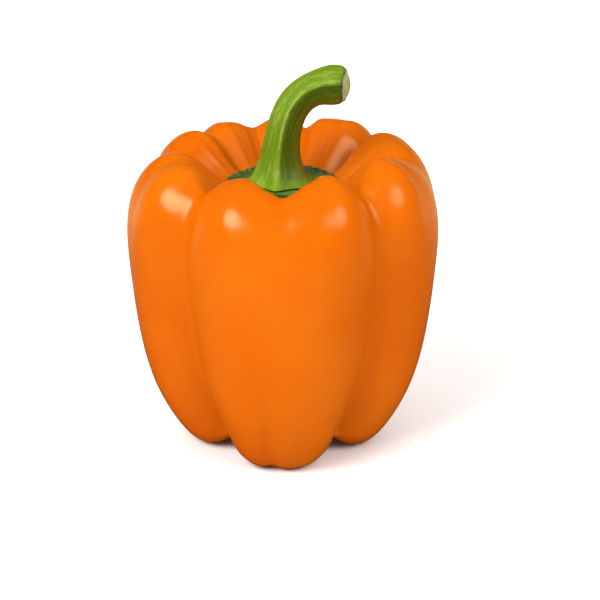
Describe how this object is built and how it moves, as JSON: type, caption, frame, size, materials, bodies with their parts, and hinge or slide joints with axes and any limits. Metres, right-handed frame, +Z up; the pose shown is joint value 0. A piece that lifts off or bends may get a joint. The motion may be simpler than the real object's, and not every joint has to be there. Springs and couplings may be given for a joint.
{
  "type": "bell pepper",
  "caption": "Blocky lobed bell pepper standing on its feet, with a toothed calyx in the hollow of its top and a ribbed, curved, cut stem.",
  "frame": {"origin": "under the middle of the fruit, on the surface that its four feet stand on", "axes": "+Z up along the fruit from the feet to the stem, -Y towards the side that the picture shows, +X the way the stem leans"},
  "size_m": [0.0892, 0.0926, 0.1132],
  "materials": {
    "skin": "smooth waxy orange skin, clear gloss",
    "calyx": "dark green, finely wrinkled, dull",
    "stem": "mid green, softly ribbed, satin, with a pale dry cut end"
  },
  "bodies": {
    "root": {"fruit": "skin", "calyx": "calyx", "stem": "stem"}
  },
  "joints": []
}
